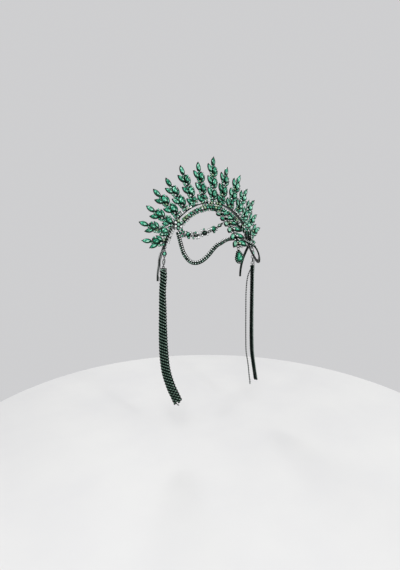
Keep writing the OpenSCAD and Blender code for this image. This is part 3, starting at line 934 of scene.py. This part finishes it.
def add_end_cups(gems, metal, side):
    """Two rows of cups along the front of the headband, from its end up to the flower."""
    for i in range(END_CUPS):
        for out, ahead, kinds in END_ROWS:
            place = on_front(BAND_R + out, END_FIRST + END_STEP * i + ahead, 0.2)
            material = rng.choice(kinds)
            spot = MIRROR[side] @ tilted(place, END_LEAN)
            small_setting(gems, metal, spot, END_SIZE, rng.uniform(*END_TONES), material)
            if not ahead:
                thin_bar(metal, MIRROR[side] @ place, 1.2, 5)


def add_feet(gems, metal, side):
    for degrees, out in FEET:
        place = on_front(BAND_R + out, degrees, 0.6)
        spot = MIRROR[side] @ tilted(place, FEET_LEAN)
        base, material = rng.uniform(*FEET_TONES), rng.choice(FEET_GLASS)
        small_setting(gems, metal, spot, FEET_SIZE, base, material)
        thin_bar(metal, MIRROR[side] @ place @ shift(0, -1, 0), 0.9, 6)


def dress_headband():
    gems, metal = Shape(crystal, smoke, emerald), Shape(gunmetal)
    for side in ("left", "right"):
        add_end_cups(gems, metal, side)
        add_feet(gems, metal, side)
    gems.piece("headband_small_stones", "crown", "clear_stone")
    metal.piece("headband_small_settings", "crown", "black_metal")


# Forehead spray, with sizes as in the frame's source

BROW_R = 98
BROW_TURN = math.radians(26.5)
BROW_TIERS = 6
BROW_FIRST = 7.5
BROW_STEP = 11
BROW_START = np.array([0, -9.3, -3.2])
# Small stones of a tier: across, along the stem, out of it, size, and the materials to choose from
BROW_SMALL = (
    (0.2, 1.6, 0.9, 2.2, (crystal, crystal, lime)),
    (3.2, -1.6, 0.3, 2.3, (crystal,)),
    (2.2, 4.2, 1, 2, (pale, lime)),
    (-2, 8.6, 0.3, 2.2, (crystal, crystal, smoke)),
    (-4.2, -1.4, 0.4, 2.3, (crystal, smoke)),
    (4.9, 8.2, -0.2, 2.2, (crystal, emerald)),
    (-5.6, 9.4, -0.2, 2, (crystal, pale)),
)
BROW_TONES = (0.35, 0.85)
BROW_LEAN = 14


def brow_dir(s):
    a = BROW_TURN + s / BROW_R
    return np.array([0, -math.cos(a), -math.sin(a)])


def brow_out(s):
    a = BROW_TURN + s / BROW_R
    return np.array([0, -math.sin(a), math.cos(a)])


def brow_at(s):
    """The point this far along the stem, which bends on one radius."""
    return BROW_START + BROW_R * (brow_out(s) - brow_out(0))


def brow_stone(stone):
    if stone.is_round:
        return rng.choice((crystal, lime)), rng.uniform(0.5, 0.85)
    if stone.matrix[0, 3] > 0:
        return emerald, rng.choice((0.34, 0.46, 0.6))
    return rng.choice((emerald, pale, pale)), rng.choice((0.36, 0.46, 0.6))


def dress_brow():
    metal = dress("brow_stones", "crown", "green_stone", brow_stone, np.zeros(3))
    gems = Shape(*GLASS)
    for tier in range(BROW_TIERS):
        s = BROW_FIRST + BROW_STEP * tier
        here = frame_at(brow_at(s), brow_dir(s), brow_out(s))
        for x, y, z, size, kinds in BROW_SMALL:
            spot = tilted(here @ shift(x, y, z), BROW_LEAN)
            small_setting(gems, metal, spot, size, rng.uniform(*BROW_TONES), rng.choice(kinds))
    gems.piece("brow_small_stones", "crown", "clear_stone")
    metal.piece("brow_claws", "crown", "black_metal")


# Pendant, flowers, garlands and tassel links

PENDANT_GLASS = any_of((emerald, 0.42, 0.44))
HALO_GLASS = any_of((crystal, 0.6, 0.9), (pale, 0.6, 0.8), (emerald, 0.6, 0.8))
FLOWER_GLASS = any_of((pale, 0.4, 0.6), (lime, 0.4, 0.6), (crystal, 0.5, 0.7))
# Small stones round the garland: place, size, material and tone
GARLAND_SMALL = (
    ((54.8, -21.6, -35.4), 2.8, crystal, 0.7),
    ((58.2, -16.4, -35.4), 2.4, crystal, 0.5),
    ((49.2, -29.6, -36.3), 2.8, crystal, 0.8),
    ((47.6, -30.6, -41.6), 3, crystal, 0.95),
    ((49.6, -28.6, -42.6), 2.4, crystal, 0.7),
    ((45.6, -32.6, -33.4), 2.5, crystal, 0.8),
    ((36.6, -37.4, -31.4), 2.5, crystal, 0.75),
    ((44.4, -33.6, -39.4), 2.5, crystal, 0.7),
    ((38, -37.2, -37.6), 2.5, crystal, 0.8),
    ((33.6, -38.6, -30.2), 2.8, crystal, 0.8),
    ((25.4, -40.4, -31), 2.4, crystal, 0.6),
    ((21.6, -40.4, -25.6), 2.4, pale, 0.6),
    ((58.4, -11, -34.2), 3.4, emerald, 0.3),
    ((59.6, -8.6, -31.6), 3.4, emerald, 0.35),
    ((58.6, -13.4, -39.6), 2.6, smoke, 0.6),
    ((60, -6.6, -35.4), 3.2, emerald, 0.35),
    ((59.6, -9.4, -39.8), 2.8, emerald, 0.45),
    ((56.6, -15, -34.8), 3, pale, 0.4),
    ((51.8, -24.4, -36.4), 2.6, smoke, 0.6),
    ((52, -24.6, -42.6), 2.6, pale, 0.4),
    ((55.2, -18.4, -42), 3.2, emerald, 0.5),
    ((29.4, -39.6, -34.4), 3.2, emerald, 0.5),
    ((50.4, -27, -35.6), 2.6, emerald, 0.35),
    ((42.6, -34.6, -31.4), 2.4, emerald, 0.4),
    ((29.6, -39.6, -28), 2.4, emerald, 0.4),
)
GARLAND_LEAN = 12
# Round stones of the garland narrower than this are clear, and of the links wider than this are green
GARLAND_CLEAR_BELOW = 4.5
LINK_GREEN_OVER = 4


def garland_stone(stone):
    if stone.is_round:
        return (crystal, 0.6) if stone.width < GARLAND_CLEAR_BELOW else (emerald, 0.25)
    return emerald, rng.uniform(0.48, 0.58)


def dress_garland(side):
    metal = dress(f"{side}_garland_stones", "crown", "green_stone", garland_stone)
    gems = Shape(*GLASS)
    for place, size, material, base in GARLAND_SMALL:
        here = frame_at(place, (0, 0, 1), np.array(place) - HEAD_MIDDLE)
        small_setting(gems, metal, MIRROR[side] @ tilted(here, GARLAND_LEAN), size, base, material)
        thin_bar(metal, MIRROR[side] @ here @ shift(0, 0, 0.1), 0.9, 3.6, 1.6)
    gems.piece(f"{side}_garland_small_stones", "crown", "clear_stone")
    metal.piece(f"{side}_garland_claws", "crown", "black_metal")


def link_stone(stone):
    return (emerald, 0.6) if stone.width > LINK_GREEN_OVER else (crystal, 0.5)


# Chains

# Middle lines of the left side's chains, from their upper ends
SWAG_PATH = [[63.5, -3, -34], [63.2, -5, -39], [63.5, -10, -49], [64, -17, -61], [63, -24, -69],
    [61, -31, -74], [58, -38, -75], [54, -43, -73], [50, -47, -69], [45, -50, -63], [40, -51.5, -57],
    [34, -52, -52], [27, -51.5, -49], [20, -50, -46], [13, -48.5, -44], [7, -47.6, -43.2],
    [1.2, -47.4, -42.8]]
TASSEL_PATH = [[84, 1, -84.5], [84, 1, -95], [85, 2, -115], [85, 2, -140], [85, 2, -170], [84.5, 1, -200],
    [83, -2, -225], [80, -9, -245], [77, -15, -257], [74.5, -20, -267]]
LOOSE_PATH = [[84, 1, -84.5], [80.5, 7.2, -100], [79, 9.6, -125], [79, 9.6, -170], [78.5, 8.6, -200],
    [78, 7, -225], [78.5, 4, -240], [78, 1, -252], [75, -4, -264], [71, -10, -272], [66, -14, -276]]
# Two thin wires that hang beside each tassel's top
WIRES = (
    ((84.4, -1, -58), (88.4, 1.6, -62), (90.4, 2.4, -68), (91.2, 3, -80), (90.6, 3, -92), (88.2, 2, -101),
        (84.8, 0.4, -104)),
    ((84.2, -1, -58.6), (86.8, 0.6, -64), (87.8, 1.6, -72), (88.0, 2, -86), (86.4, 1, -98)),
)
WIRE = 0.9
# Where a tassel's broad face looks
TASSEL_FACE = unit((0.6, -0.8, 0))
# A chain's cup: its height and wall, and the stone's crown as a share of its width
BEAD_HEIGHT = 0.55
BEAD_WALL = 0.16
BEAD_CROWN = 0.28
BEAD_DEPTH = 0.5


def curve(points, steps):
    """A smooth line through points, with this many steps from each to the next."""
    p = np.asarray(points, float)
    made = []
    for i in range(len(p) - 1):
        a, b, c, d = p[max(i - 1, 0)], p[i], p[i + 1], p[min(i + 2, len(p) - 1)]
        for j in range(steps):
            t = j / steps
            made.append(b + (c - a) * t / 2 + (2 * a - 5 * b + 4 * c - d) * t * t / 2
                + (3 * b - a - 3 * c + d) * t ** 3 / 2)
    return np.array(made + [p[-1]])


class Route:
    """A line with its length, from which places and directions are read."""

    def __init__(self, points):
        self.points = np.asarray(points, float)
        steps = np.linalg.norm(np.diff(self.points, axis=0), axis=1)
        self.marks = np.concatenate([[0], np.cumsum(steps)])
        self.length = self.marks[-1]

    def at(self, s):
        return np.array([np.interp(s, self.marks, self.points[:, k]) for k in range(3)])

    def direction(self, s, reach=0.5):
        return unit(self.at(min(s + reach, self.length)) - self.at(max(s - reach, 0)))


def read_at(s, table):
    """The value at a distance, from a table of distances and values."""
    return np.interp(s, *zip(*table))


def bead_link(shape, matrix, width, length, material, base, contrast=1.2, clawed=False):
    """One stone of a chain in a low cup. z = 0 is the top of the chain's body."""
    outline = oval(width, length)
    rim = matrix @ shift(0, 0, BEAD_HEIGHT)
    shape.add(rim, cup(outline, BEAD_WALL, BEAD_HEIGHT, taper=0.9))
    part, tones = cut(outline, BEAD_CROWN * width, BEAD_DEPTH, painted_light_in(rim), base, contrast)
    shape.add(rim @ shift(0, 0, -0.05), part, material, tones)
    if clawed:
        corner_claws(shape, rim, width, length, 0.05, CHAIN_CLAW)


# Swags

CUP_PITCH = 3.1
SWAG_W = 5.5
SWAG_THICK = 1.3
SWAG_LEAN = 7
SWAG_STONE = 2.0
# Distance of each row from the swag's middle line
SWAG_ROW = 1.42
# The inner row's bright stones, and the outer row's darker ones
BRIGHT_W = 1.9
BRIGHT_TONES = (0.55, 0.95)
DARK_W = 1.6
DARK_GLASS = (smoke, pale, grey, grey)
DARK_TONES = (0.45, 0.8)


def swag(side):
    shape = Shape(*CHAIN)
    route = Route(curve(SWAG_PATH, 8))
    count = round(route.length / CUP_PITCH)
    pitch = route.length / count
    for i in range(count):
        s = (i + 0.5) * pitch
        here = route.at(s)
        place = MIRROR[side] @ frame_at(here, route.direction(s), here - HEAD_MIDDLE)
        front = place @ shift(0, 0, 0.2)
        thin_bar(shape, front, SWAG_W, pitch * 1.12, SWAG_THICK)
        outer = tilted(front @ shift(-SWAG_ROW, 0, 0), SWAG_LEAN)
        material, base = rng.choice(DARK_GLASS), rng.uniform(*DARK_TONES)
        bead_link(shape, outer, DARK_W, SWAG_STONE, material, base, clawed=True)
        inner = tilted(front @ shift(SWAG_ROW, 0, 0), SWAG_LEAN)
        base = rng.uniform(*BRIGHT_TONES)
        bead_link(shape, inner, BRIGHT_W, SWAG_STONE, crystal, base, clawed=True)
    shape.piece(f"{side}_swag_chain", "crown", "cup_chain", f"{side}_swag")


# Tassels

# One link to the next, the stones' slant, and each column's lead in links
LINK_PITCH = 4.2
SLANT = -58
STRAND_STEP = 0.27
# Columns of strands: place across, in columns from the middle, and which edge it is, or 0
COLUMNS = ((-1.5, -1), (-0.5, 0), (0.5, 0), (1.5, 1))
# Half the distance between the front strands and the back ones
STRAND_DEPTH = 1.5
# Distance down the tassel, and how far apart the columns lie there
SPREAD = ((0, 2.03), (32, 2.05), (56, 2.3), (86, 2.6), (116, 2.85))
# Distance down the tassel, and how bright the stones are there
FADE = ((30, 1), (90, 0.85), (187, 0.75))
# The slanted stones: width, length as a share of the column's pitch, tones, and their lean
DASH_W = 1.35
DASH_SHARE = 1.14
DASH_TONES = (0.36, 0.54)
EDGE_TONES = (0.5, 0.7)
DASH_LEAN = 5
# The dark links: width and length as a share of their pitches, and thickness
LINK_SHARE = 1.04
LINK_THICK = 1.9
EDGE_BEAD = (0.75, 1.1, 1.0)
# The loose strand
LOOSE_PITCH = 2.9
LOOSE_BEAD = (0.95, 1.25, 0.95)
LOOSE_TONES = (0.3, 0.8)
LOOSE_LEAN = 8
# The bar at the top: its width, height and depth, and its stones
BAR = (8.6, 3.4, 5)
BAR_STONES = 4
BAR_PITCH = 2.0
BAR_TONES = (0.4, 0.6)
BAR_LEAN = 6


def beside(centre, across, deep):
    """A line beside another: across in the tassel's own face and deep out of it."""
    points = []
    for s in np.linspace(0, centre.length, 90):
        m = frame_at(centre.at(s), centre.direction(s, 4), TASSEL_FACE)
        points.append((m @ [across * read_at(s, SPREAD), 0, deep, 1])[:3])
    return Route(points)


def strand(shape, side, route, lead, back, edge):
    """A strand of slanted stones on dark links, each link as wide as its column.

    Edge is 1 or -1 at an edge of the tassel, which is beaded, and 0 elsewhere.
    """
    out, slant = (-TASSEL_FACE, -SLANT) if back else (TASSEL_FACE, SLANT)
    bright = edge > 0 and not back
    for i in range(int((route.length - lead) / LINK_PITCH)):
        s = lead + (i + 0.5) * LINK_PITCH
        width = read_at(s, SPREAD)
        place = MIRROR[side] @ frame_at(route.at(s), route.direction(s, 2), out)
        link = block(width * LINK_SHARE, LINK_PITCH * LINK_SHARE, LINK_THICK, 0.25)
        shape.add(place @ shift(0, 0, -1.2), link)
        spot = tilted(place @ shift(0, 0, 0.45), DASH_LEAN) @ turn(slant)
        base = rng.uniform(*(EDGE_TONES if bright else DASH_TONES)) * read_at(s, FADE)
        bead_link(shape, spot, DASH_W, DASH_SHARE * width, grey, base, contrast=0.4)
        if edge:
            bead = place @ shift(edge * width * LINK_SHARE / 2, LINK_PITCH * 0.3, 0)
            shape.add(bead @ stretch(*EDGE_BEAD), BALL, smooth=True)


def add_strands(shape, side):
    centre = Route(curve(TASSEL_PATH, 6))
    for k, (across, edge) in enumerate(COLUMNS):
        lead = LINK_PITCH * STRAND_STEP * k - 1
        strand(shape, side, beside(centre, across, STRAND_DEPTH), lead, False, edge)
        strand(shape, side, beside(centre, across, -STRAND_DEPTH), lead, True, -edge)


def add_loose_strand(shape, side):
    """A single strand of small dark stones that hangs behind the tassel."""
    loose = Route(curve(LOOSE_PATH, 6))
    for i in range(int(loose.length / LOOSE_PITCH) - 1):
        s = 2 + i * LOOSE_PITCH
        place = MIRROR[side] @ frame_at(loose.at(s), loose.direction(s), TASSEL_FACE)
        shape.add(place @ stretch(*LOOSE_BEAD), BALL, smooth=True)
        spot = tilted(place @ shift(0, 0, 0.6), LOOSE_LEAN)
        bead_link(shape, spot, 1.15, 1.4, smoke, rng.uniform(*LOOSE_TONES))
        shape.add(place @ shift(0, LOOSE_PITCH / 2, -0.3), block(0.6, 1.2, 0.6, 0.1))


def add_bar(shape, side):
    """The bar that gathers the strands, with four slanted stones on each face, and its ring."""
    width, height, depth = BAR
    bar = MIRROR[side] @ frame_at(TASSEL_PATH[0], (0, 0, 1), TASSEL_FACE)
    shape.add(bar @ shift(0, 0, -depth / 2), block(width, height, depth, 0.6))
    for face in (1, -1):
        flip = np.eye(4) if face > 0 else tip_over(180)
        for k in range(BAR_STONES):
            across = BAR_PITCH * (k - (BAR_STONES - 1) / 2)
            spot = bar @ flip @ shift(across, 0, depth / 2 - 0.05) @ turn(face * SLANT)
            spot = tilted(spot, BAR_LEAN)
            bead_link(shape, spot, 1.2, 2.3, grey, rng.uniform(*BAR_TONES), contrast=0.5)
    shape.add(bar @ shift(0, 3.1, 0), torus(1.5, 0.4), smooth=True)


def tassel(side):
    shape = Shape(*CHAIN)
    add_strands(shape, side)
    add_loose_strand(shape, side)
    add_bar(shape, side)
    shape.piece(f"{side}_tassel_chains", "crown", "cup_chain", f"{side}_tassel")


def wires(side):
    shape = Shape(steel)
    for places in WIRES:
        route = curve(places, 5)
        for a, b in zip(route[:-1], route[1:]):
            place = MIRROR[side] @ frame_at((a + b) / 2, b - a, TASSEL_FACE)
            shape.add(place @ shift(0, 0, -0.35), block(WIRE, np.linalg.norm(b - a) + 0.25, 0.7, 0.2))
    shape.piece(f"{side}_wires", "crown", "black_metal")


# Finish of the metal that the frame carries


def finish_metal():
    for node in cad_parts.values():
        if not node.hide_render:
            node.data.materials.clear()
            node.data.materials.append(gunmetal)


# Table

TABLE_TOP = -330
TABLE_R = 391
TABLE_THICK = 18
TABLE_EDGE = 4


def add_table():
    edge = TABLE_EDGE
    profile = [(0, -TABLE_THICK), (TABLE_R - edge, -TABLE_THICK), (TABLE_R, -TABLE_THICK + edge),
        (TABLE_R, -edge), (TABLE_R - edge * 0.3, -edge * 0.3), (TABLE_R - edge, 0), (0, 0)]
    points, faces = lathe(profile, sides=128)
    mesh = bpy.data.meshes.new("table")
    mesh.from_pydata([(x * MM, y * MM, (z + TABLE_TOP) * MM) for x, y, z in points], [], faces)
    n = Nodes("table_top")
    tones = n.ramp(n.noise(9, 3), [(0.3, (0.70, 0.70, 0.70)), (0.7, (0.74, 0.74, 0.73))])
    n.link(tones, n.shader.inputs["Base Color"])
    n.set(Roughness=0.6)
    mesh.materials.append(n.material)
    made = bpy.data.objects.new("table", mesh)
    bpy.context.scene.collection.objects.link(made)


# Everything is made here. Another order would change what chance gives each stone

for i in range(1, SPRAYS + 1):
    dress_spray(i)
dress_arc()
dress_headband()
dress_brow()
dress_alone("pendant_stone", "pendant_claws", "pendant", "green_stone", PENDANT_GLASS)
dress_alone("pendant_halo", "halo_claws", "pendant", "clear_stone", HALO_GLASS)
for side in ("right", "left"):
    dress_alone(f"{side}_flower_stones", f"{side}_flower_claws", "crown", "green_stone", FLOWER_GLASS)
    dress_garland(side)
    dress_alone(f"{side}_tassel_stones", f"{side}_link_claws", "crown", "green_stone", link_stone)
for side in ("right", "left"):
    swag(side)
    tassel(side)
    wires(side)
finish_metal()
add_table()
